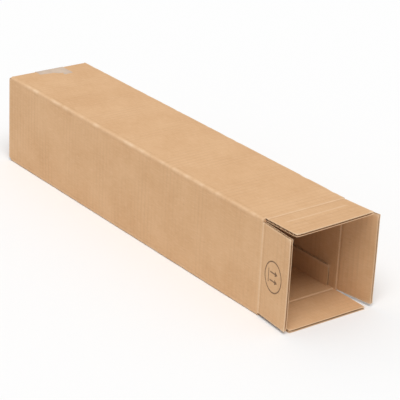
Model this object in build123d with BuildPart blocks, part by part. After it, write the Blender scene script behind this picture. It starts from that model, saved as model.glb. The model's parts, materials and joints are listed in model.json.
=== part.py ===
from build123d import *
import os

# Square mailing carton of single-wall corrugated board, lying on one side.
# Its mouth faces -Y with all four flaps opened out, and its closed end faces +Y.
# The origin is at the middle of the base, Z is up, and all sizes are in millimetres.

# the carton, outside
carton_width = 135.0
carton_height = 135.0
carton_length = 612.0  # from the fold of the mouth's side flaps to the face of the closed end

# the board and how it is cut
board = 4.0
fold_radius = 3.0  # outside of a folded edge
inner_fold_radius = 0.8
layer_gap = 0.3  # air between two layers that lie on each other
edge_clearance = 0.4  # beside a flap, where it passes a wall
hinge_gap = 0.3  # between a flap's rounded root and the end of its wall
side_flap_depth = 57.5  # from the fold's axis to the free edge
glue_tab_width = 32.0
glue_tab_setback = 8.0  # the tab stops this far short of the folds

# how far each flap of the mouth has sprung from the plane of its wall, in degrees
left_splay = 4.5
right_splay = 9.0
top_splay = 1.5

# the tape over the seam of the closed end
tape_width = 48.0
tape_thickness = 0.1
tape_reach = 42.0  # onto the top, and as far under the base

# places that follow from the sizes above
half_width = carton_width / 2
half_board = board / 2
mouth_y = -carton_length / 2
back_y = carton_length / 2
flap_trim = board + edge_clearance  # from the outside of a wall to the side of a flap
fold_step = board + layer_gap  # the top and bottom flaps fold inside the side flaps
end_flap_depth = side_flap_depth + fold_step  # all four flaps end on one straight cut
end_fold_y = mouth_y + fold_step
wall_end_setback = half_board + hinge_gap
side_wall_end_y = mouth_y + wall_end_setback
end_wall_end_y = end_fold_y + wall_end_setback
inner_back_y = back_y - fold_step  # outer face of the closed end's inner flaps
walls_end_y = inner_back_y - fold_radius  # the slots between the folded flaps reach to here
side_flap_height = carton_height - 2 * flap_trim
end_flap_width = carton_width - 2 * flap_trim
tape_start_y = back_y - tape_reach


def draw_flap_section(depth):
    """Draw a flap's section: a plate with a round root about the fold's axis."""
    Circle(half_board)
    with Locations((depth / 2, 0)):
        Rectangle(depth, board)


def rear_outline():
    """Draw the side view of the closed end as a tight wrap lies on it."""
    with BuildLine() as outline:
        CenterArc((inner_back_y - fold_radius, carton_height - fold_radius), fold_radius, 0, 90)
        CenterArc((inner_back_y - fold_radius, fold_radius), fold_radius, 270, 90)
        Line((back_y, flap_trim), (back_y, carton_height - flap_trim))
        Line((tape_start_y, 0), (tape_start_y, carton_height))
    make_hull(outline.edges())


# ---- tape: over the end, onto the top, and pressed flush into the base
with BuildPart() as closing_tape:
    with BuildSketch(Plane.YZ):
        rear_outline()
        offset(amount=tape_thickness, mode=Mode.REPLACE)
    extrude(amount=tape_width / 2, both=True)
    with BuildSketch(Plane.YZ):
        rear_outline()
        with Locations((back_y, carton_height / 2 + tape_thickness)):
            Rectangle(4 * tape_reach, carton_height, mode=Mode.INTERSECT)
    extrude(amount=tape_width / 2, both=True, mode=Mode.SUBTRACT)
    split(bisect_by=Plane.XY, keep=Keep.TOP)
    split(bisect_by=Plane.XZ.offset(-tape_start_y), keep=Keep.BOTTOM)
closing_tape.part.label = "closing_tape"

# ---- carton: four walls, the folded flaps of the closed end and the glued tab, one sheet
with BuildPart() as carton_body:
    # four walls round the section
    with BuildSketch(Plane.XZ.offset(-walls_end_y)):
        with Locations((0, carton_height / 2)):
            RectangleRounded(carton_width, carton_height, fold_radius)
            RectangleRounded(
                carton_width - 2 * board,
                carton_height - 2 * board,
                inner_fold_radius,
                mode=Mode.SUBTRACT,
            )
    extrude(amount=walls_end_y - side_wall_end_y)

    # the top and bottom walls stop at their own folds, a layer behind the side folds
    fold_strip = end_wall_end_y - side_wall_end_y
    strip_height = board + inner_fold_radius
    for wall_z in (strip_height / 2, carton_height - strip_height / 2):
        with Locations((0, side_wall_end_y + fold_strip / 2, wall_z)):
            Box(carton_width - 2 * board, fold_strip, strip_height, mode=Mode.SUBTRACT)

    # flaps of the closed end: the top and bottom ones lie inside the two side ones
    top_corner = (-end_flap_width / 2, inner_back_y, carton_height)
    bottom_corner = (end_flap_width / 2, inner_back_y, 0)
    left_corner = (-half_width, back_y, flap_trim)
    right_corner = (half_width, back_y, carton_height - flap_trim)
    for corner, facing, depth, width in (
        (top_corner, (1, 0, 0), end_flap_depth, end_flap_width),
        (bottom_corner, (-1, 0, 0), end_flap_depth, end_flap_width),
        (left_corner, (0, 0, 1), side_flap_depth, side_flap_height),
        (right_corner, (0, 0, -1), side_flap_depth, side_flap_height),
    ):
        wall_run = corner[1] - walls_end_y
        with BuildSketch(Plane(origin=corner, x_dir=(0, -1, 0), z_dir=facing)) as fold_section:
            Rectangle(wall_run, board, align=(Align.MIN, Align.MIN))
            Rectangle(board, half_board + depth, align=(Align.MIN, Align.MIN))
            fillet(fold_section.vertices().sort_by_distance((0, 0))[0], fold_radius)
        extrude(amount=width)

    # glued tab: folded up from the base and stuck inside the right wall
    tab_start_y = end_wall_end_y + glue_tab_setback
    tab_end_y = inner_back_y - board - glue_tab_setback
    with BuildSketch(Plane.XY.offset(half_board)):
        with Locations((half_width - board, tab_start_y)):
            Rectangle(board, tab_end_y - tab_start_y, align=(Align.MAX, Align.MIN))
    extrude(amount=half_board + glue_tab_width)

    # the board under the tape is pressed in by the tape's thickness
    add(closing_tape.part, mode=Mode.SUBTRACT)
carton_body.part.label = "carton_body"

# ---- flaps of the mouth, each turning on its fold
with BuildPart() as front_flap_left:
    left_root = Plane(
        origin=(half_board - half_width, mouth_y, flap_trim),
        x_dir=Vector(0, -1, 0).rotate(Axis.Z, -left_splay),
        z_dir=(0, 0, 1),
    )
    with BuildSketch(left_root):
        draw_flap_section(side_flap_depth)
    extrude(amount=side_flap_height)
front_flap_left.part.label = "front_flap_left"

with BuildPart() as front_flap_right:
    right_root = Plane(
        origin=(half_width - half_board, mouth_y, flap_trim),
        x_dir=Vector(0, -1, 0).rotate(Axis.Z, right_splay),
        z_dir=(0, 0, 1),
    )
    with BuildSketch(right_root):
        draw_flap_section(side_flap_depth)
    extrude(amount=side_flap_height)
front_flap_right.part.label = "front_flap_right"

with BuildPart() as front_flap_top:
    top_root = Plane(
        origin=(-end_flap_width / 2, end_fold_y, carton_height - half_board),
        x_dir=Vector(0, -1, 0).rotate(Axis.X, -top_splay),
        z_dir=(1, 0, 0),
    )
    with BuildSketch(top_root):
        draw_flap_section(end_flap_depth)
    extrude(amount=end_flap_width)
front_flap_top.part.label = "front_flap_top"

with BuildPart() as front_flap_bottom:
    bottom_root = Plane(
        origin=(-end_flap_width / 2, end_fold_y, half_board),
        x_dir=(0, -1, 0),
        z_dir=(1, 0, 0),
    )
    with BuildSketch(bottom_root):
        draw_flap_section(end_flap_depth)
    extrude(amount=end_flap_width)
front_flap_bottom.part.label = "front_flap_bottom"

os.makedirs("parts", exist_ok=True)
export_step(carton_body.part, "parts/carton_body.step")
export_step(closing_tape.part, "parts/closing_tape.step")
export_step(front_flap_left.part, "parts/front_flap_left.step")
export_step(front_flap_right.part, "parts/front_flap_right.step")
export_step(front_flap_top.part, "parts/front_flap_top.step")
export_step(front_flap_bottom.part, "parts/front_flap_bottom.step")
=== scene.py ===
# Square mailing carton, lying on its side with its mouth open
import bpy
import json
import math
import numpy as np
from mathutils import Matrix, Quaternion, Vector, noise


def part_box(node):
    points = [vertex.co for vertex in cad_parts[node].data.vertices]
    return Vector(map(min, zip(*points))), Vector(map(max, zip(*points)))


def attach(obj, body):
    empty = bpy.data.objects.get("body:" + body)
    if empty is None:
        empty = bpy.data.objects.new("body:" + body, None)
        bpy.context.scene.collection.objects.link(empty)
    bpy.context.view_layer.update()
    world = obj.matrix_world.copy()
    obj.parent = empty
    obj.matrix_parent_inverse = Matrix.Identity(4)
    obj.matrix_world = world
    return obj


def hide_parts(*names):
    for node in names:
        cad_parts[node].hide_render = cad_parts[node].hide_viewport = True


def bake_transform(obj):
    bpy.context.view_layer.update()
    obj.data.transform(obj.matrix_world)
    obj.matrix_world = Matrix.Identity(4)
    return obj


mm = 0.001
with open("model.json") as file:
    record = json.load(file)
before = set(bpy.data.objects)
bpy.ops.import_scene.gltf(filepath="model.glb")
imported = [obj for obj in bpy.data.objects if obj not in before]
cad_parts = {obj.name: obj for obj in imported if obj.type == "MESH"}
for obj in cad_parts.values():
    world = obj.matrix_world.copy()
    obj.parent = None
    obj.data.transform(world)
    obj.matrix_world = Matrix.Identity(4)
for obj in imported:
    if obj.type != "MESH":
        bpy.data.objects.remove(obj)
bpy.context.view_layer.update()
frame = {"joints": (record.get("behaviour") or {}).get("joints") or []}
folds = {joint["child"]: joint for joint in frame["joints"]}
bodyLow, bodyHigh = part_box("carton_body")
tapeLow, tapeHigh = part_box("closing_tape")

board = {
    "thickness": 4.0 * mm,
    "liner": 0.40 * mm,      # each outer sheet
    "core": 0.32 * mm,       # the fluted sheet between them
    "flute": 7.9 * mm,       # crest to crest
    "cornerRadius": 3.4 * mm,
    "layerGap": 0.3 * mm,
}
thick = board["thickness"]
half = thick / 2
width = bodyHigh.x - bodyLow.x
height = bodyHigh.z - bodyLow.z
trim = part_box("front_flap_left")[0].z          # from the outside of a wall to the side of a flap
sideFold = folds["left_flap"]["pos_m"][1]
endFold = folds["top_flap"]["pos_m"][1]
rimY = bodyLow.y                               # the side walls end here, just behind their folds
rootGap = rimY - sideFold
endRimY = endFold + rootGap
backY = bodyHigh.y
innerBackY = backY - thick - board["layerGap"]


# ---------- small tools
def deselectAll():
    if bpy.context.object and bpy.context.object.mode != "OBJECT":
        bpy.ops.object.mode_set(mode="OBJECT")
    bpy.ops.object.select_all(action="DESELECT")


def pick(obj):
    deselectAll()
    obj.select_set(True)
    bpy.context.view_layer.objects.active = obj
    return obj


def getPoints(obj):
    co = np.zeros(len(obj.data.vertices) * 3)
    obj.data.vertices.foreach_get("co", co)
    return co.reshape(-1, 3)


def setPoints(obj, co):
    obj.data.vertices.foreach_set("co", np.ascontiguousarray(co, dtype=float).ravel())
    obj.data.update()


def applyPlace(obj):
    pick(obj)
    bpy.ops.object.transform_apply(location=True, rotation=True, scale=True)


def giveThickness(obj, thickness, offset):
    pick(obj)
    modifier = obj.modifiers.new("thickness", "SOLIDIFY")
    modifier.thickness = thickness
    modifier.offset = offset
    modifier.use_even_offset = True
    bpy.ops.object.modifier_apply(modifier=modifier.name)


def joinAll(objs, name):
    deselectAll()
    for obj in objs:
        obj.select_set(True)
    bpy.context.view_layer.objects.active = objs[0]
    bpy.ops.object.join()
    objs[0].name = name
    objs[0].data.name = name
    return objs[0]


def smoothShade(obj, angle=40):
    pick(obj)
    bpy.ops.object.shade_smooth_by_angle(angle=math.radians(angle))


def smooth(t):
    t = np.clip(t, 0, 1)
    return t * t * (3 - 2 * t)


def bump(x, centre, spread):
    return np.exp(-((x - centre) / spread) ** 2)


def wobble(a, b, scale, seed):
    # soft noise over two coordinates, about -1 to 1
    shift = Vector((seed * 7.31, seed * 3.17, seed * 5.73))
    return np.array([noise.noise(Vector((x * scale, y * scale, 0)) + shift) for x, y in zip(a, b)])


def setFloats(obj, name, values):
    layer = obj.data.attributes.get(name) or obj.data.attributes.new(name, "FLOAT", "POINT")
    layer.data.foreach_set("value", np.asarray(values, np.float32))


# the carton unrolled: how far round the outside a point is, from the foot of the right wall,
# going up it, over the top, down the left wall and back along the base
wallNormals = {"right": (1, 0, 0), "top": (0, 0, 1), "left": (-1, 0, 0), "base": (0, 0, -1)}
wallNames = list(wallNormals)


def roundRun(co, wall):
    runs = (co[:, 2], height + width / 2 - co[:, 0], height + width + height - co[:, 2],
            2 * height + width + width / 2 + co[:, 0])
    return np.choose(wall, runs)


def nearestWall(co):
    gaps = np.stack([width / 2 - co[:, 0], height - co[:, 2], width / 2 + co[:, 0], co[:, 2]])
    return np.argmin(gaps, 0)


def setSheetMap(obj, u, v):
    # where each point is on the flat sheet, in metres
    mesh = obj.data
    layer = mesh.uv_layers.get("sheet") or mesh.uv_layers.new(name="sheet")
    vertex = np.zeros(len(mesh.loops), int)
    mesh.loops.foreach_get("vertex_index", vertex)
    v = v[vertex]
    start = np.zeros(len(mesh.polygons), int)
    mesh.polygons.foreach_get("loop_start", start)
    total = 2 * (width + height)
    highest = np.maximum.reduceat(v, start)
    sides = np.diff(np.append(start, len(v)))
    v = v + np.where(np.repeat(highest, sides) - v > total / 2, total, 0)   # faces over the seam
    layer.data.foreach_set("uv", np.stack([u[vertex], v], 1).ravel())


# ---------- materials
def newMaterial(name):
    material = bpy.data.materials.new(name)
    material.use_nodes = True
    return material, material.node_tree, material.node_tree.nodes["Principled BSDF"]


def feed(tree, socket, value):
    if isinstance(value, bpy.types.NodeSocket):
        tree.links.new(value, socket)
    elif isinstance(value, tuple):
        socket.default_value = (*value, 1.0)
    else:
        socket.default_value = value


def calc(tree, operation, a, b=0.0, c=0.0):
    node = tree.nodes.new("ShaderNodeMath")
    node.operation = operation
    for socket, value in zip(node.inputs, (a, b, c)):
        feed(tree, socket, value)
    return node.outputs[0]


def remap(tree, value, low, high, toLow, toHigh):
    node = tree.nodes.new("ShaderNodeMapRange")
    feed(tree, node.inputs["Value"], value)
    for key, number in zip(("From Min", "From Max", "To Min", "To Max"), (low, high, toLow, toHigh)):
        node.inputs[key].default_value = number
    return node.outputs["Result"]


def mixColour(tree, share, a, b):
    node = tree.nodes.new("ShaderNodeMix")
    node.data_type = "RGBA"
    for key, value in ((0, share), (6, a), (7, b)):
        feed(tree, node.inputs[key], value)
    return node.outputs[2]


def sheetPlace(tree):
    # u runs along the carton and v round it, both in metres of flat board
    place = tree.nodes.new("ShaderNodeUVMap")
    place.uv_map = "sheet"
    split = tree.nodes.new("ShaderNodeSeparateXYZ")
    tree.links.new(place.outputs["UV"], split.inputs["Vector"])
    return place.outputs["UV"], split.outputs["X"], split.outputs["Y"]


def sheetNoise(tree, uv, stretch, scale, detail=3.0, roughness=0.55):
    mapping = tree.nodes.new("ShaderNodeMapping")
    mapping.inputs["Scale"].default_value = (stretch[0], stretch[1], 1.0)
    tree.links.new(uv, mapping.inputs["Vector"])
    texture = tree.nodes.new("ShaderNodeTexNoise")
    for key, value in (("Scale", scale), ("Detail", detail), ("Roughness", roughness)):
        texture.inputs[key].default_value = value
    tree.links.new(mapping.outputs["Vector"], texture.inputs["Vector"])
    return texture.outputs["Fac"]


kraft = {
    "colour": (0.655, 0.405, 0.218),
    "dark": (0.600, 0.355, 0.180),
    "pale": (0.740, 0.500, 0.300),
    "fibreAndShade": (0.360, 0.200, 0.095),
    "wornAndHighlight": (0.830, 0.620, 0.420),
    "roughness": 0.80,
    "gloss": 0.35,
    "mottle": 15.0,          # clouds per metre
    "fluteShade": 0.14,
}


def kraftMaterial(name, tone=1.0, ink=None):
    material, tree, shader = newMaterial(name)
    uv, along, across = sheetPlace(tree)
    cloud = sheetNoise(tree, uv, (1.0, 1.0), kraft["mottle"], 5.0, 0.62)
    streak = sheetNoise(tree, uv, (0.16, 1.0), 520.0, 4.0, 0.7)
    grain = sheetNoise(tree, uv, (0.6, 1.0), 1600.0, 2.0, 0.6)
    fleck = sheetNoise(tree, uv, (0.30, 1.0), 700.0, 1.0, 0.5)
    shades = [tuple(channel * tone for channel in kraft[key]) for key in ("dark", "colour", "pale", "fibreAndShade")]
    colour = mixColour(tree, remap(tree, cloud, 0.36, 0.64, 0.0, 1.0), shades[0], shades[1])
    colour = mixColour(tree, remap(tree, streak, 0.45, 0.75, 0.0, 0.45), colour, shades[2])
    colour = mixColour(tree, remap(tree, fleck, 0.69, 0.76, 0.0, 0.35), colour, shades[3])

    # faint painted shade bars along the flutes' washboard ridges, stronger in some places than others
    drift = remap(tree, sheetNoise(tree, uv, (1.0, 1.0), 8.0, 3.0, 0.6), 0.0, 1.0, -0.0020, 0.0020)
    phase = calc(tree, "MULTIPLY", calc(tree, "ADD", along, drift), 2 * math.pi / board["flute"])
    wave = calc(tree, "SINE", phase)
    patch = remap(tree, sheetNoise(tree, uv, (1.0, 0.30), 24.0, 2.0, 0.5), 0.38, 0.66, 0.10, 1.0)
    bars = calc(tree, "MULTIPLY", wave, patch)
    colour = mixColour(tree, remap(tree, bars, 0.1, 1.0, 0.0, kraft["fluteShade"]), colour, shades[3])

    # paper worn pale along creases and cut edges, partly a painted highlight on the crease ridges and edges
    wearAndHighlight = tree.nodes.new("ShaderNodeAttribute")
    wearAndHighlight.attribute_name = "wearAndHighlight"
    wornAndHighlight = calc(tree, "MULTIPLY", wearAndHighlight.outputs["Fac"], remap(tree, grain, 0.30, 0.65, 0.5, 1.0))
    colour = mixColour(tree, calc(tree, "MINIMUM", wornAndHighlight, 0.85), colour, kraft["wornAndHighlight"])
    # painted shade darkens the crease and score grooves, in the dark fibre colour
    creaseShade = tree.nodes.new("ShaderNodeAttribute")
    creaseShade.attribute_name = "creaseShade"
    colour = mixColour(tree, calc(tree, "MINIMUM", creaseShade.outputs["Fac"], 0.9), colour, shades[3])
    if ink:
        colour = ink(tree, colour, along, across, uv)
    feed(tree, shader.inputs["Base Color"], colour)
    shader.inputs["Roughness"].default_value = kraft["roughness"]
    shader.inputs["Specular IOR Level"].default_value = kraft["gloss"]

    lift = calc(tree, "MULTIPLY_ADD", bars, 0.55, calc(tree, "MULTIPLY", streak, 0.40))
    lift = calc(tree, "MULTIPLY_ADD", grain, 0.20, lift)
    relief = tree.nodes.new("ShaderNodeBump")
    relief.inputs["Strength"].default_value = 0.5
    relief.inputs["Distance"].default_value = 0.00018
    feed(tree, relief.inputs["Height"], lift)
    feed(tree, shader.inputs["Normal"], relief.outputs["Normal"])
    return material


tapeLook = {
    "colour": (0.455, 0.315, 0.210),
    "pale": (0.570, 0.425, 0.305),
    "coat": 0.30,
    "coatRoughness": 0.22,
}


def tapeMaterial():
    material, tree, shader = newMaterial("packingTape")
    uv = sheetPlace(tree)[0]
    cloud = sheetNoise(tree, uv, (1.0, 1.0), 55.0, 4.0, 0.6)
    line = sheetNoise(tree, uv, (1.0, 0.05), 300.0, 2.0, 0.5)
    bubble = sheetNoise(tree, uv, (1.0, 1.0), 260.0, 2.0, 0.5)
    colour = mixColour(tree, remap(tree, cloud, 0.36, 0.64, 0.0, 1.0), tapeLook["colour"], tapeLook["pale"])
    colour = mixColour(tree, remap(tree, line, 0.52, 0.72, 0.0, 0.35), colour, tapeLook["pale"])
    colour = mixColour(tree, remap(tree, bubble, 0.66, 0.72, 0.0, 0.50), colour, tapeLook["pale"])
    feed(tree, shader.inputs["Base Color"], colour)
    feed(tree, shader.inputs["Roughness"], remap(tree, cloud, 0.3, 0.7, 0.30, 0.50))
    shader.inputs["Coat Weight"].default_value = tapeLook["coat"]
    shader.inputs["Coat Roughness"].default_value = tapeLook["coatRoughness"]
    relief = tree.nodes.new("ShaderNodeBump")
    relief.inputs["Strength"].default_value = 0.35
    relief.inputs["Distance"].default_value = 0.0002
    feed(tree, relief.inputs["Height"], calc(tree, "MULTIPLY_ADD", cloud, 0.6, line))
    feed(tree, shader.inputs["Normal"], relief.outputs["Normal"])
    return material


# a plain handling mark in brown ink on the left flap: a ring, two arrows and a ground line
mark = {
    "along": 26.5 * mm,      # from the fold to its middle
    "across": 338.4 * mm,    # round the sheet to its middle
    "wide": 17.5 * mm,       # half its size along the flap
    "tall": 21.0 * mm,
    "line": 0.045,           # of the ring, as a share of its size
    "ink": (0.110, 0.058, 0.030),
    "cover": 0.90,
}


def printMark(tree, colour, along, across, uv):
    def near(value, spread):
        return calc(tree, "LESS_THAN", calc(tree, "ABSOLUTE", value), spread)

    x = calc(tree, "SUBTRACT", calc(tree, "SUBTRACT", sideFold, along), mark["along"])
    y = calc(tree, "SUBTRACT", across, mark["across"])
    ringX = calc(tree, "POWER", calc(tree, "ABSOLUTE", calc(tree, "DIVIDE", x, mark["wide"])), 2.0)
    ringY = calc(tree, "POWER", calc(tree, "ABSOLUTE", calc(tree, "DIVIDE", y, mark["tall"])), 2.0)
    radius = calc(tree, "SQRT", calc(tree, "ADD", ringX, ringY))
    ring = near(calc(tree, "SUBTRACT", radius, 1.0), mark["line"])
    side = calc(tree, "ABSOLUTE", calc(tree, "SUBTRACT", calc(tree, "ABSOLUTE", y), 5.6 * mm))
    stem = calc(tree, "MULTIPLY", near(side, 1.0 * mm), near(calc(tree, "ADD", x, 1.6 * mm), 5.2 * mm))
    reach = calc(tree, "MULTIPLY", calc(tree, "SUBTRACT", 9.2 * mm, x), 0.62)
    barb = calc(tree, "LESS_THAN", side, reach)
    head = calc(tree, "MULTIPLY", barb, calc(tree, "GREATER_THAN", x, 3.2 * mm))
    ground = calc(tree, "MULTIPLY", near(calc(tree, "ADD", x, 9.8 * mm), 0.7 * mm), near(y, 9.5 * mm))
    shape = calc(tree, "MAXIMUM", calc(tree, "MAXIMUM", ring, stem), calc(tree, "MAXIMUM", head, ground))
    patchy = remap(tree, sheetNoise(tree, uv, (1.0, 1.0), 560.0, 3.0, 0.7), 0.30, 0.55, 0.5, mark["cover"])
    return mixColour(tree, calc(tree, "MULTIPLY", shape, patchy), colour, mark["ink"])


kraftBoard = kraftMaterial("kraftBoard")
kraftPrinted = kraftMaterial("kraftPrinted", ink=printMark)
kraftFluting = kraftMaterial("kraftFluting", tone=0.72)
packingTape = tapeMaterial()
print("materials ready")


# ---------- the four walls, one tube
walls = {
    "sideEndY": innerBackY - 3.0 * mm,
    "endEndY": innerBackY - 4.7 * mm,       # the top and base turn in sooner than the sides
    "lengthCuts": 219,
    "crossCuts": 24,
    "cornerSteps": 5,
    "swell": 0.45 * mm,                     # how far the middle of a wall stands out
    "wave": 0.40 * mm,
    "knock": 0.85 * mm,                     # deepest dent in a long edge
    "score": 0.20 * mm,
}


def selectWhere(obj, mode, test):
    bpy.ops.mesh.select_mode(type=mode)
    bpy.ops.mesh.select_all(action="DESELECT")
    bpy.ops.object.mode_set(mode="OBJECT")
    mesh = obj.data
    if mode == "FACE":
        for face in mesh.polygons:
            face.select = bool(test(face.center, face.normal))
    else:
        for edge in mesh.edges:
            edge.select = bool(test(*(mesh.vertices[i].co for i in edge.vertices)))
    bpy.ops.object.mode_set(mode="EDIT")


def makeTube():
    length = walls["sideEndY"] - rimY
    deselectAll()
    bpy.ops.mesh.primitive_cube_add(size=1, location=(0, rimY + length / 2, height / 2))
    tube = bpy.context.object
    tube.scale = (width, length, height)
    applyPlace(tube)
    bpy.ops.object.mode_set(mode="EDIT")
    selectWhere(tube, "FACE", lambda centre, normal: abs(normal.y) > 0.9)
    bpy.ops.mesh.delete(type="FACE")
    selectWhere(tube, "EDGE", lambda a, b: abs(a.y - b.y) > length / 2)
    bpy.ops.mesh.bevel(offset=board["cornerRadius"], segments=walls["cornerSteps"], affect="EDGES")
    selectWhere(tube, "EDGE", lambda a, b: abs(a.y - b.y) > length / 2)
    bpy.ops.mesh.subdivide(number_cuts=walls["lengthCuts"])
    selectWhere(tube, "EDGE", lambda a, b: abs(a.y - b.y) < 1e-6 and (a - b).length > width / 2)
    bpy.ops.mesh.subdivide(number_cuts=walls["crossCuts"])
    bpy.ops.object.mode_set(mode="OBJECT")

    # finer steps beside the creases
    co = getPoints(tube)
    share = (co[:, 1] - rimY) / length
    co[:, 1] = rimY + np.interp(share, (0, 0.11, 0.95, 1), (0, 22 * mm, length - 11 * mm, length))
    flat = width / 2 - board["cornerRadius"]
    for axis, centre in ((0, 0), (2, height / 2)):
        place = (co[:, axis] - centre) / flat
        inner = np.abs(place) < 1
        co[inner, axis] = centre + flat * np.interp(place[inner], (-1, -0.6, 0.6, 1), (-1, -0.9, 0.9, 1))
    setPoints(tube, co)

    # between the corners the top and base stop where their own flaps fold
    bpy.ops.object.mode_set(mode="EDIT")
    cuts = (((0, endRimY, 0), (0, 1, 0)), ((0, walls["endEndY"], 0), (0, 1, 0)),
            ((width / 2 - trim, 0, 0), (1, 0, 0)), ((trim - width / 2, 0, 0), (1, 0, 0)))
    for place, normal in cuts:
        bpy.ops.mesh.select_all(action="SELECT")
        bpy.ops.mesh.bisect(plane_co=place, plane_no=normal)
    clear = width / 2 - trim
    selectWhere(tube, "FACE", lambda centre, normal: abs(normal.z) > 0.9 and abs(centre.x) < clear
                and not endRimY < centre.y < walls["endEndY"])
    bpy.ops.mesh.delete(type="FACE")
    bpy.ops.mesh.select_all(action="SELECT")
    bpy.ops.mesh.remove_doubles(threshold=0.00002)
    bpy.ops.mesh.normals_make_consistent(inside=False)
    bpy.ops.object.mode_set(mode="OBJECT")
    return tube


def shapeTube(tube):
    co = getPoints(tube)
    wall = nearestWall(co)
    run = roundRun(co, wall)
    share = (co[:, 1] - rimY) / (walls["sideEndY"] - rimY)
    across = (run / width) % 1
    fade = smooth((co[:, 1] - rimY) / (10 * mm)) * smooth((walls["endEndY"] - co[:, 1]) / (10 * mm))
    middle = np.sin(np.pi * across) ** 0.6
    out = walls["swell"] * np.sin(np.pi * across) * np.sin(np.pi * np.clip(share, 0, 1)) ** 0.5
    waves = wobble(co[:, 1], run, 11, 1) + 0.5 * wobble(co[:, 1], run * 0.35, 34, 2)
    out += walls["wave"] * middle * waves
    out *= fade
    out[wall == 3] = -0.3 * np.abs(out[wall == 3])         # the base stays on the floor
    taped = (wall == 3) & (np.abs(co[:, 0]) < tapeHigh.x + 0.5 * mm) & (co[:, 1] > tapeLow.y - 2 * mm)
    out[taped] = -0.15 * mm

    # long edges: a score on each side of the fold and knocks here and there
    toSide = width / 2 - np.abs(co[:, 0])
    toEnd = np.minimum(co[:, 2], height - co[:, 2])
    away = np.hypot(np.maximum(toSide, 0), np.maximum(toEnd, 0))
    corner = np.sign(co[:, 0]) * 3.1 + np.sign(co[:, 2] - height / 2) * 1.7
    rough = wobble(co[:, 1], corner, 70, 3) + 0.6 * wobble(co[:, 1], corner, 190, 4)
    knock = np.clip(rough - 0.05, 0, 1)
    fine = wobble(co[:, 1], corner * 2, 330, 5)
    out -= bump(away, 5.4 * mm, 1.5 * mm) * walls["score"] * (1 + 0.8 * fine) * fade
    normals = np.array(list(wallNormals.values()), float)[wall]
    inward = np.stack([-np.sign(co[:, 0]), np.zeros(len(co)), -np.sign(co[:, 2] - height / 2)], 1) / 1.41
    inward[co[:, 2] < height / 2, 2] = 0
    dent = bump(away, 0, 5 * mm) * (knock * walls["knock"] + 0.10 * mm * fine) * fade
    co = co + normals * out[:, None] + inward * dent[:, None]
    setPoints(tube, co)
    # pale wear with a painted highlight along the long edges and the mouth rim
    wearAndHighlight = bump(away, 0.8 * mm, 2.6 * mm) * (0.28 + 0.9 * knock + 0.25 * fine)
    wearAndHighlight += bump(co[:, 1], rimY, 1.4 * mm) * 0.3
    setFloats(tube, "wearAndHighlight", np.clip(wearAndHighlight, 0, 1))
    # painted shade in the score groove beside each long edge
    dark = bump(away, 6.2 * mm, 1.1 * mm) * np.clip(0.10 + 0.22 * fine, 0, 1)
    setFloats(tube, "creaseShade", np.clip(dark, 0, 1) * fade)
    setSheetMap(tube, co[:, 1], run)


def thickenTube(tube):
    outer = len(tube.data.vertices)
    giveThickness(tube, thick, -1.0)
    co = getPoints(tube)
    clear = width / 2 - thick
    co[outer:, 0] = np.clip(co[outer:, 0], -clear, clear)
    co[outer:, 2] = np.clip(co[outer:, 2], thick, height - thick)
    setPoints(tube, co)
    wearAndHighlight = np.zeros(len(co), np.float32)
    tube.data.attributes["wearAndHighlight"].data.foreach_get("value", wearAndHighlight)
    wearAndHighlight[outer:] *= 0.2
    setFloats(tube, "wearAndHighlight", wearAndHighlight)
    # no painted crease shade on the inside faces
    dark = np.zeros(len(co), np.float32)
    tube.data.attributes["creaseShade"].data.foreach_get("value", dark)
    dark[outer:] = 0
    setFloats(tube, "creaseShade", dark)


tube = makeTube()
shapeTube(tube)
thickenTube(tube)
tube.name = "cartonWalls"
tube.data.materials.append(kraftBoard)
smoothShade(tube)
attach(tube, "carton")
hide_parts("carton_body")
print("walls", len(tube.data.polygons))


# ---------- board cut flat: two liners with a fluted sheet between them
sheetCuts = {
    "along": 1.25 * mm,      # step along the carton
    "across": 46,
    "perFlute": 12,
    "coreAcross": 10,
}


def flatSheet(start, end, wide, z, alongCuts, acrossCuts):
    deselectAll()
    bpy.ops.mesh.primitive_grid_add(x_subdivisions=alongCuts, y_subdivisions=acrossCuts, size=1)
    obj = bpy.context.object
    obj.scale = (end - start, wide, 1)
    obj.location = ((start + end) / 2, 0, z)
    applyPlace(obj)
    return obj


def cutBoard(start, end, wide, outside):
    # local x runs along the carton, y across the flap and z out of the board
    steps = round((end - start) / sheetCuts["along"])
    lift = half - board["liner"] / 2
    outer = flatSheet(start, end, wide, lift, steps, sheetCuts["across"])
    inner = flatSheet(start, end, wide, -lift, steps, sheetCuts["across"])
    flutes = round((end - start) / board["flute"] * sheetCuts["perFlute"])
    core = flatSheet(start, end, wide - 0.3 * mm, 0, flutes, sheetCuts["coreAcross"])
    co = getPoints(core)
    swing = half - board["liner"] - board["core"] / 2
    co[:, 2] = swing * np.sin(2 * np.pi * (co[:, 0] - end) / board["flute"] + 2.4)
    setPoints(core, co)
    layers = ((outer, board["liner"], outside), (inner, board["liner"], kraftBoard),
              (core, board["core"], kraftFluting))
    for obj, thickness, material in layers:
        obj.data.materials.append(material)
    return layers


def placeFlap(name, layers, origin, ahead, outward, wall, shape):
    ahead, outward, origin = (np.array(v, float) for v in (ahead, outward, origin))
    across = np.cross(outward, ahead)
    for obj, thickness, material in layers:
        flat = getPoints(obj)
        onSheet = origin + flat[:, :1] * ahead + flat[:, 1:2] * across
        setSheetMap(obj, onSheet[:, 1], roundRun(onSheet, np.full(len(flat), wallNames.index(wall))))
        shaped, wearAndHighlight, dark = shape(flat)
        setPoints(obj, origin + shaped[:, :1] * ahead + shaped[:, 1:2] * across + shaped[:, 2:] * outward)
        setFloats(obj, "wearAndHighlight", np.clip(wearAndHighlight, 0, 1))
        setFloats(obj, "creaseShade", np.clip(dark, 0, 1))
        giveThickness(obj, thickness, 0.0)
    flap = joinAll([layer[0] for layer in layers], name)
    smoothShade(flap)
    return flap


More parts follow.
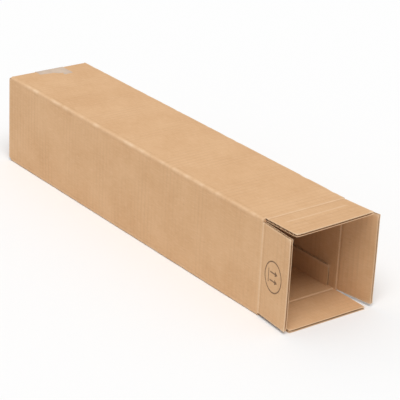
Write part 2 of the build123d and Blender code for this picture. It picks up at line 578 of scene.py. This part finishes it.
# ---------- the four flaps of the mouth
frontFlaps = {
    "left": {"outward": (-1, 0, 0), "twist": 0.0, "ridge": -0.8, "valley": 2.0,
             "lines": ((11, 0.12), (47, 0.10)), "seed": 3, "bow": 0.5},
    "right": {"outward": (1, 0, 0), "twist": 0.0, "ridge": -0.8, "valley": 2.0, "lines": ((14, 0.15),),
              "seed": 5, "bow": -0.4},
    "top": {"outward": (0, 0, 1), "twist": 1.1, "ridge": 4.6, "valley": 6.6, "lines": ((34, 0.22),),
            "seed": 7, "bow": 0.3},
    "bottom": {"outward": (0, 0, -1), "twist": 0.0, "ridge": -0.8, "valley": 2.0, "lines": ((30, 0.10),),
               "seed": 9, "bow": 0.0},
}
foldLook = {
    "bendTo": 3.2 * mm,      # the board bends from behind the fold's axis to here
    "ridgeHeight": 0.35 * mm,
    "valleyDepth": 0.60 * mm,
    "insideGroove": 0.9 * mm,
    "pinch": 0.25 * mm,      # a die presses the cut edges thinner
}


def makeFrontFlap(side):
    look = frontFlaps[side]
    body = side + "_flap"
    node = "front_flap_" + side
    joint = folds[body]
    low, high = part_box(node)
    splay = math.radians(sum(joint["range_deg"]) / 2)     # each flap turns as far in as out from its wall
    foldY = joint["pos_m"][1]
    origin = np.array(joint["pos_m"], float)
    depth = (foldY - low.y - half * math.sin(splay)) / math.cos(splay)
    upright = side in ("left", "right")
    wide = high.z - low.z if upright else high.x - low.x
    if upright:
        origin[2] = (low.z + high.z) / 2
    else:
        origin[0] = (low.x + high.x) / 2
    wall = {"left": "left", "right": "right", "top": "top", "bottom": "base"}[side]

    def shape(co):
        d, y, z = co.T
        free = depth - d
        rim = wide / 2 - np.abs(y)
        fade = smooth((d + rootGap) / (0.8 * mm))
        uneven = 1 + 0.5 * wobble(y, y, 60, look["seed"])
        line = look["ridge"] * mm
        ridge = foldLook["ridgeHeight"] * bump(d, line, 1.0 * mm) * uneven
        valley = foldLook["valleyDepth"] * bump(d, look["valley"] * mm, 1.3 * mm) * uneven
        pinch = foldLook["pinch"] * (bump(free, 0, 1.6 * mm) + 0.6 * bump(rim, 0, 1.2 * mm))
        outer = half + (ridge - valley) * fade - pinch
        inner = -half + foldLook["insideGroove"] * bump(d, 0.4 * mm, 1.7 * mm) * fade + pinch
        # painted shade in the grooves of the fold lines and in the valley beside the fold
        shade = 0 * d
        for place, strength in look["lines"]:
            outer = outer - 0.25 * mm * bump(d, place * mm, 1.2 * mm)
            broken = np.clip(0.6 + wobble(y, d, 45, 11), 0, 1)
            shade = shade + strength * bump(d, place * mm, 0.9 * mm) * broken
        if side == "top":
            second = bump(d, 25.3 * mm, 1.1 * mm) * smooth((rim - 10 * mm) / (6 * mm))
            outer = outer + 0.30 * mm * second
        share = (z + half) / thick
        z = inner * (1 - share) + outer * share
        far = smooth(d / (40 * mm))
        bow = look["bow"] * mm * ((2 * y / wide) ** 2 - 0.33)
        z = z + far * (0.35 * mm * wobble(d, y, 22, look["seed"]) + bow)
        knock = bump(np.hypot(free, rim), 0, 4 * mm) * 0.5 * mm
        z = z - knock * np.sign(wobble(y * 0 + np.sign(y), y * 0, 3, look["seed"]))
        if side == "bottom":
            z = np.minimum(z, half)                      # the lowest flap lies on the floor
        bend = smooth((d + rootGap) / (foldLook["bendTo"] + rootGap))
        turn = (splay + math.radians(look["twist"]) * 2 * y / wide) * bend
        bentX = d * np.cos(turn) - z * np.sin(turn)
        bentZ = d * np.sin(turn) + z * np.cos(turn)
        # pale wear with a painted highlight along the cut edges and the fold ridge
        wearAndHighlight = 0.75 * bump(free, 0, 0.9 * mm) + 0.45 * bump(rim, 0, 0.8 * mm)
        wearAndHighlight = wearAndHighlight + 0.60 * bump(d, line, 1.0 * mm) * np.clip(uneven, 0.3, 1.5)
        if side == "top":
            wearAndHighlight = wearAndHighlight + 0.45 * second * np.clip(uneven, 0.3, 1.4)
        wearAndHighlight = wearAndHighlight + 0.4 * bump(np.hypot(free, rim), 0, 5 * mm)
        shade = shade + 0.30 * bump(d, look["valley"] * mm, 0.9 * mm) * fade
        outside = smooth((co[:, 2] + 0.2 * half) / (0.4 * half))
        return np.stack([bentX, y, bentZ], 1), wearAndHighlight, shade * outside

    layers = cutBoard(-rootGap, depth, wide, kraftPrinted if side == "left" else kraftBoard)
    name = "mouthFlap" + side.capitalize()
    flap = placeFlap(name, layers, origin, (0, -1, 0), look["outward"], wall, shape)
    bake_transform(flap)
    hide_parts(node)
    return flap


for side in frontFlaps:
    flap = makeFrontFlap(side)
    print("mouth flap", side, len(flap.data.polygons))


# ---------- the four folded flaps of the closed end
rearFlaps = {
    "left": {"outward": (-1, 0, 0), "wall": "left", "layer": "outer"},
    "right": {"outward": (1, 0, 0), "wall": "right", "layer": "outer"},
    "top": {"outward": (0, 0, 1), "wall": "top", "layer": "inner"},
    "bottom": {"outward": (0, 0, -1), "wall": "base", "layer": "inner"},
}
rearFold = {
    "radius": 2.4 * mm,      # of the middle of the board
    "seam": 16 * mm,         # gap between the two outer flaps
    "innerSeam": 7.4 * mm,
}


def makeRearFlap(side):
    look = rearFlaps[side]
    outerLayer = look["layer"] == "outer"
    face = backY if outerLayer else innerBackY
    startY = walls["sideEndY"] if outerLayer else walls["endEndY"]
    bendY = face - half - rearFold["radius"]
    gap = rearFold["seam"] if outerLayer else rearFold["innerSeam"]
    reach = (width if outerLayer else height) / 2 - half - rearFold["radius"] - gap / 2
    arc = rearFold["radius"] * math.pi / 2
    straight = bendY - startY
    total = straight + arc + reach
    wide = (height if outerLayer else width) - 2 * trim
    outward = np.array(look["outward"], float)
    origin = np.array((0, startY, height / 2)) + outward * ((width if outerLayer else height) / 2 - half)

    def shape(co):
        s, y, z = co.T
        turn = np.clip((s - straight) / arc, 0, 1) * math.pi / 2
        past = np.maximum(s - straight - arc, 0)
        rim = wide / 2 - np.abs(y)
        free = total - s
        if outerLayer:
            settle = -0.15 * mm * smooth(past / (20 * mm)) * (1 + wobble(s, y, 30, 21))
        else:
            settle = -0.8 * mm * smooth(past / (30 * mm)) * (0.6 + 0.4 * wobble(s, y, 30, 22))
        pinch = foldLook["pinch"] * (bump(free, 0, 1.6 * mm) + 0.6 * bump(rim, 0, 1.2 * mm))
        z = z * (1 - pinch / half) + settle
        radius = rearFold["radius"] + z
        x = np.minimum(s, straight) + radius * np.sin(turn)
        drop = -(rearFold["radius"] - radius * np.cos(turn)) - past
        wearAndHighlight = 0.6 * bump(free, 0, 0.9 * mm) + 0.35 * bump(rim, 0, 0.8 * mm)
        wearAndHighlight = wearAndHighlight + 0.45 * bump(s, straight + arc / 2, 2.6 * mm) * (1 + 0.5 * wobble(y, y, 60, 23))
        return np.stack([x, y, drop], 1), wearAndHighlight, 0 * s

    layers = cutBoard(0, total, wide, kraftBoard)
    name = "endFlap" + side.capitalize()
    flap = placeFlap(name, layers, origin, (0, 1, 0), look["outward"], look["wall"], shape)
    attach(flap, "carton")
    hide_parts("carton_body")
    return flap


for side in rearFlaps:
    flap = makeRearFlap(side)
    print("end flap", side, len(flap.data.polygons))


# ---------- the glued tab inside the right wall
gluedTab = {
    "height": 34 * mm,
    "frontGap": 8 * mm,
    "across": 6,
}


def makeGluedTab():
    start = endRimY + gluedTab["frontGap"]
    end = innerBackY - thick - gluedTab["frontGap"]
    low = half
    wide = gluedTab["height"] - low
    lift = half - board["liner"] / 2
    steps = round((end - start) / (6 * mm))
    outer = flatSheet(start, end, wide, lift, steps, gluedTab["across"])
    inner = flatSheet(start, end, wide, -lift, steps, gluedTab["across"])
    flutes = round((end - start) / board["flute"] * 10)
    core = flatSheet(start, end, wide - 0.3 * mm, 0, flutes, 2)
    co = getPoints(core)
    swing = half - board["liner"] - board["core"] / 2
    co[:, 2] = swing * np.sin(2 * np.pi * co[:, 0] / board["flute"])
    setPoints(core, co)
    layers = ((outer, board["liner"], kraftBoard), (inner, board["liner"], kraftBoard),
              (core, board["core"], kraftFluting))
    for obj, thickness, material in layers:
        obj.data.materials.append(material)
        flat = getPoints(obj)
        rim = wide / 2 - flat[:, 1]
        setSheetMap(obj, flat[:, 0], 2 * (width + height) + flat[:, 1])
        setFloats(obj, "wearAndHighlight", 0.5 * bump(rim, 0, 1 * mm))
        setFloats(obj, "creaseShade", 0 * rim)
        giveThickness(obj, thickness, 0.0)
        flat = getPoints(obj)
        x = width / 2 - thick - half + flat[:, 2]
        setPoints(obj, np.stack([x, flat[:, 0], low + wide / 2 + flat[:, 1]], 1))
        pick(obj)
        bpy.ops.object.mode_set(mode="EDIT")
        bpy.ops.mesh.select_all(action="SELECT")
        bpy.ops.mesh.normals_make_consistent(inside=False)
        bpy.ops.object.mode_set(mode="OBJECT")
    tab = joinAll([outer, inner, core], "gluedTab")
    smoothShade(tab)
    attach(tab, "carton")
    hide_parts("carton_body")
    return tab


makeGluedTab()
print("glued tab")


# ---------- packing tape over the end seam, onto the top and under the base
tape = {
    "thickness": 0.1 * mm,
    "slant": 5 * mm,         # one end of the cut runs further along than the other
    "teeth": 0.9 * mm,
    "toothPitch": 3.2 * mm,
    "step": 1.2 * mm,
    "across": 40,
}


def makeTape():
    lift = tape["thickness"] / 2 + 0.02 * mm
    wide = tapeHigh.x - tapeLow.x
    radius = 3.0 * mm
    corner = innerBackY - radius
    # the run of the tape from the top round the end and under the base
    path = [(tapeLow.y, height), (corner, height)]
    for angle in range(15, 76, 15):
        turn = math.radians(angle)
        path.append((corner + radius * math.sin(turn), height - radius + radius * math.cos(turn)))
    path += [(backY - 0.6 * mm, height - trim + 0.3 * mm), (backY, height - trim - 0.6 * mm)]
    path += [(y, height - z) for y, z in reversed(path)]
    path = np.array(path)
    lengths = np.append(0, np.cumsum(np.hypot(*np.diff(path, axis=0).T)))
    total = lengths[-1]
    strip = flatSheet(0, total, wide, 0, round(total / tape["step"]), tape["across"])
    co = getPoints(strip)
    s, x = co[:, 0].copy(), co[:, 1].copy()
    # a torn, slanting edge at each end
    saw = np.abs((x / tape["toothPitch"]) % 1 - 0.5) * 2 * tape["teeth"]
    slant = tape["slant"] * (x / wide + 0.5)
    fromStart = smooth(1 - s / (20 * mm))
    fromEnd = smooth(1 - (total - s) / (20 * mm))
    s = s + fromStart * (slant + saw) - fromEnd * saw
    y = np.interp(s, lengths, path[:, 0])
    z = np.interp(s, lengths, path[:, 1])
    slopeY = np.interp(s + 0.5 * mm, lengths, path[:, 0]) - np.interp(s - 0.5 * mm, lengths, path[:, 0])
    slopeZ = np.interp(s + 0.5 * mm, lengths, path[:, 1]) - np.interp(s - 0.5 * mm, lengths, path[:, 1])
    size = np.hypot(slopeY, slopeZ) + 1e-9
    normalY, normalZ = -slopeZ / size, slopeY / size
    wrinkle = 0.10 * mm * np.abs(wobble(s, x * 0.3, 160, 31)) + 0.06 * mm * np.abs(wobble(s, x, 60, 32))
    onRear = smooth((y - backY + 1 * mm) / (0.8 * mm))
    onBase = smooth((2 * mm - z) / (1.5 * mm))
    rise = (lift + wrinkle) * (1 - onRear) * (1 - onBase) + onRear * 0.03 * mm
    y = y + normalY * rise
    z = np.where(onBase > 0.5, tape["thickness"] / 2 + 0.005 * mm, z + normalZ * rise)
    setSheetMap(strip, s, x + 0.2)
    setPoints(strip, np.stack([x, y, z], 1))
    return strip


strip = makeTape()
giveThickness(strip, tape["thickness"], 0.0)
pick(strip)
bpy.ops.object.mode_set(mode="EDIT")
bpy.ops.mesh.select_all(action="SELECT")
bpy.ops.mesh.normals_make_consistent(inside=False)
bpy.ops.object.mode_set(mode="OBJECT")
strip.name = "endTape"
strip.data.materials.append(packingTape)
smoothShade(strip, 30)
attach(strip, "carton")
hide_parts("closing_tape")
print("tape", len(strip.data.polygons))


# ---------- floor, light and camera
studio = {
    "floorSize": 30.0,
    "floorColour": (0.885, 0.885, 0.885),
    "sky": 0.57,
    "sun": 0.63,             # as a share of the light that shows a colour as written
    "sunSize": 38,           # degrees
    "sunFrom": (-0.5, -0.62, 1.4),
}


def makeFloor():
    deselectAll()
    bpy.ops.mesh.primitive_plane_add(size=studio["floorSize"])
    floor = bpy.context.object
    floor.name = "studioFloor"
    material, tree, shader = newMaterial("studioFloor")
    shader.inputs["Base Color"].default_value = (*studio["floorColour"], 1.0)
    shader.inputs["Roughness"].default_value = 1.0
    shader.inputs["Specular IOR Level"].default_value = 0.0
    floor.data.materials.append(material)
    return floor


def makeSky():
    world = bpy.data.worlds.new("studio")
    bpy.context.scene.world = world
    world.use_nodes = True
    tree = world.node_tree
    background = tree.nodes["Background"]
    rays = tree.nodes.new("ShaderNodeLightPath")
    seen = calc(tree, "MAXIMUM", rays.outputs["Is Camera Ray"], rays.outputs["Is Glossy Ray"])
    seen = calc(tree, "MAXIMUM", seen, rays.outputs["Is Transmission Ray"])
    background.inputs["Color"].default_value = (1.0, 1.0, 1.0, 1.0)
    feed(tree, background.inputs["Strength"], remap(tree, seen, 0.0, 1.0, studio["sky"], 1.0))


def makeSun():
    deselectAll()
    bpy.ops.object.light_add(type="SUN", location=studio["sunFrom"])
    sun = bpy.context.object
    sun.name = "softSun"
    sun.data.energy = studio["sun"] * math.pi
    sun.data.angle = math.radians(studio["sunSize"])
    sun.rotation_mode = "QUATERNION"
    sun.rotation_quaternion = Vector(studio["sunFrom"]).to_track_quat("Z", "Y")


camera = {
    "lens": 156.6,
    "azimuth": -37.98,       # degrees round from straight in front of the mouth
    "elevation": 23.44,
    "distance": 2.3826,
    "roll": 2.885,
    "aimForward": 0.0879,    # the aim is this far towards the mouth from the middle
    "aimHeight": 0.0645,
}


def makeCamera():
    data = bpy.data.cameras.new("mainCamera")
    obj = bpy.data.objects.new("mainCamera", data)
    bpy.context.scene.collection.objects.link(obj)
    data.lens = camera["lens"]
    data.sensor_width = 36
    data.clip_end = 100
    aim = Vector((0, -camera["aimForward"], camera["aimHeight"]))
    turn = math.radians(camera["azimuth"])
    rise = math.radians(camera["elevation"])
    away = Vector((math.sin(turn) * math.cos(rise), -math.cos(turn) * math.cos(rise), math.sin(rise)))
    obj.location = aim + away * camera["distance"]
    obj.rotation_mode = "QUATERNION"
    look = (-away).to_track_quat("-Z", "Y")
    obj.rotation_quaternion = look @ Quaternion((0, 0, 1), math.radians(camera["roll"]))
    bpy.context.scene.camera = obj


makeFloor()
makeSky()
makeSun()
makeCamera()
bpy.context.scene.view_settings.view_transform = "Standard"
print("stage set")
